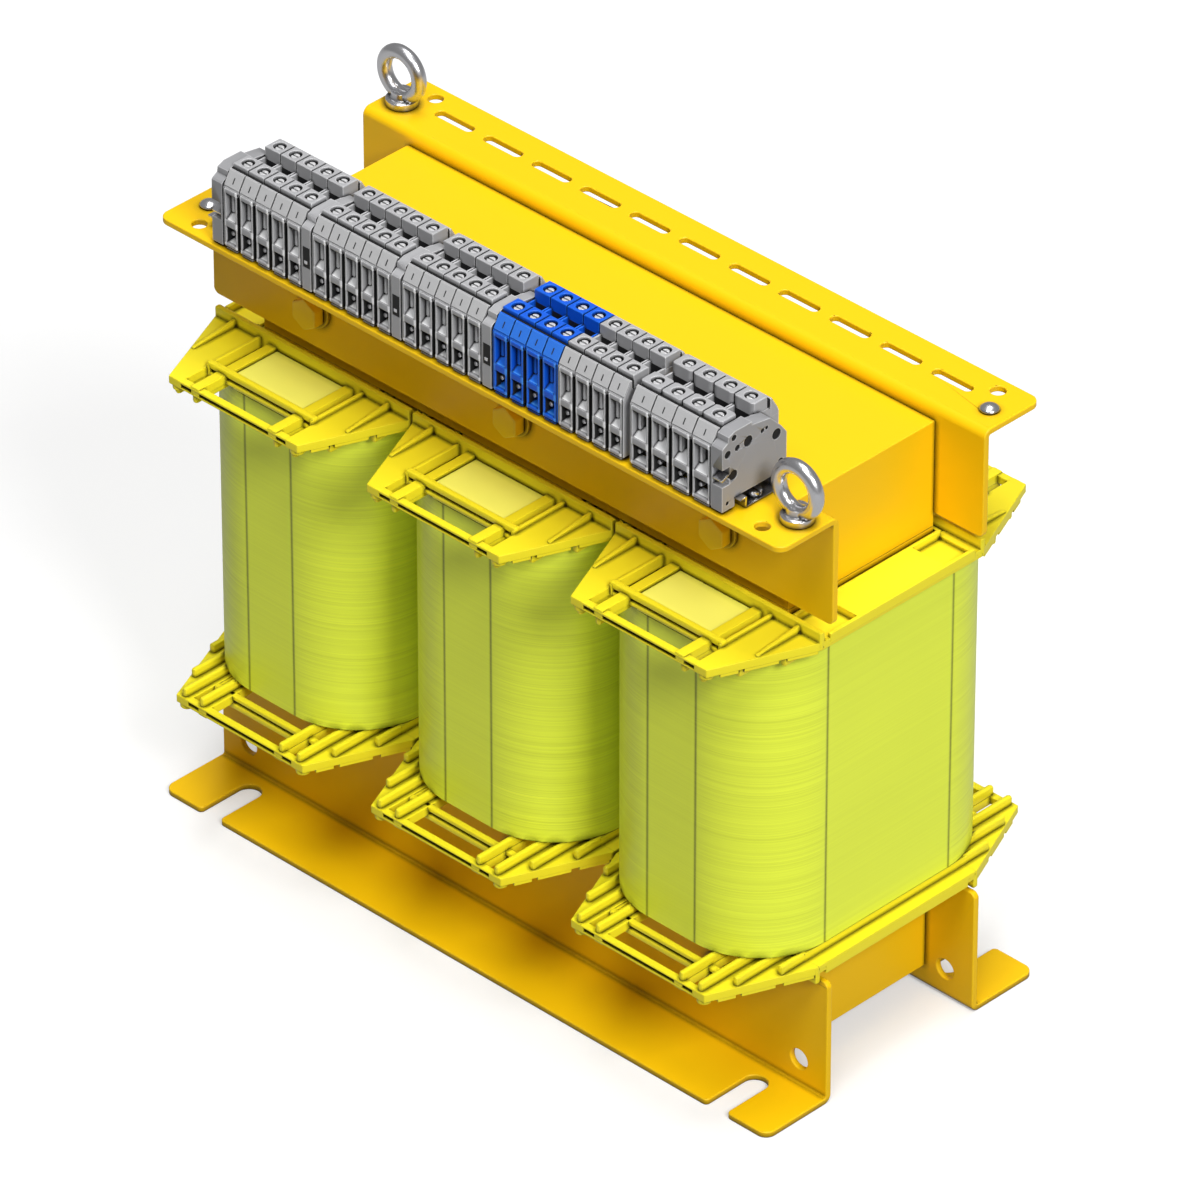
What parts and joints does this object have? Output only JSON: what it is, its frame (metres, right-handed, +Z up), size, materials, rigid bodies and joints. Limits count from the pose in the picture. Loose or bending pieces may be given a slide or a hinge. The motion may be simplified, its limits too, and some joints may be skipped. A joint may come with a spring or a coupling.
{
  "type": "three-phase transformer",
  "caption": "Open dry three-phase transformer: steel-clamped three-limb core, coils on moulded bobbins, terminal row, lifting eyes and slotted feet.",
  "frame": {"origin": "on the ground, under the middle of the feet", "axes": "+X along the core, -Y towards the terminal row, +Z up"},
  "size_m": [0.51, 0.265, 0.4605],
  "materials": {
    "yellow_paint": "semi-gloss powder coat",
    "yellow_plastic": "moulded, satin",
    "coil_wrap": "varnished tape over wire",
    "copper": "enamelled wire and bar",
    "paper": "pressboard",
    "zinc_steel": "bright zinc",
    "grey_plastic": "moulded, fine grain",
    "blue_plastic": "moulded, fine grain"
  },
  "bodies": {
    "root": {"bottom_yoke": "yellow_paint", "top_yoke": "yellow_paint", "limb_left": "yellow_paint", "limb_centre": "yellow_paint", "limb_right": "yellow_paint", "tube_left": "yellow_plastic", "tube_centre": "yellow_plastic", "tube_right": "yellow_plastic", "bottom_flange_left": "yellow_plastic", "bottom_flange_centre": "yellow_plastic", "bottom_flange_right": "yellow_plastic", "top_flange_left": "yellow_plastic", "top_flange_centre": "yellow_plastic", "top_flange_right": "yellow_plastic", "primary_left": "copper", "primary_centre": "copper", "primary_right": "copper", "barrier_left": "paper", "barrier_centre": "paper", "barrier_right": "paper", "secondary_left": "copper", "secondary_centre": "copper", "secondary_right": "copper", "coil_wrap_left": "coil_wrap", "coil_wrap_centre": "coil_wrap", "coil_wrap_right": "coil_wrap", "coil_end_pads": "coil_wrap", "base_front_angle": "yellow_paint", "base_rear_angle": "yellow_paint", "top_front_angle": "yellow_paint", "top_rear_angle": "yellow_paint", "bottom_bolts": "yellow_paint", "bottom_nuts": "yellow_paint", "bottom_washers": "yellow_paint", "top_bolts": "yellow_paint", "top_nuts": "yellow_paint", "top_washers": "yellow_paint", "bolt_sleeves": "paper", "eyebolt_front": "zinc_steel", "eyebolt_rear": "zinc_steel", "eyebolt_nuts": "zinc_steel", "flange_plugs": "zinc_steel", "terminal_rail": "zinc_steel", "rail_screws": "zinc_steel", "terminals_1": "grey_plastic", "terminals_2": "grey_plastic", "terminals_3": "grey_plastic", "terminals_blue": "blue_plastic", "terminals_4": "grey_plastic", "terminals_large": "grey_plastic", "terminal_screws": "zinc_steel", "terminal_clamps": "zinc_steel", "terminal_bars": "copper", "group_spacers": "grey_plastic", "left_bracket": "grey_plastic", "right_bracket": "grey_plastic", "bracket_clips": "zinc_steel"}
  },
  "joints": []
}
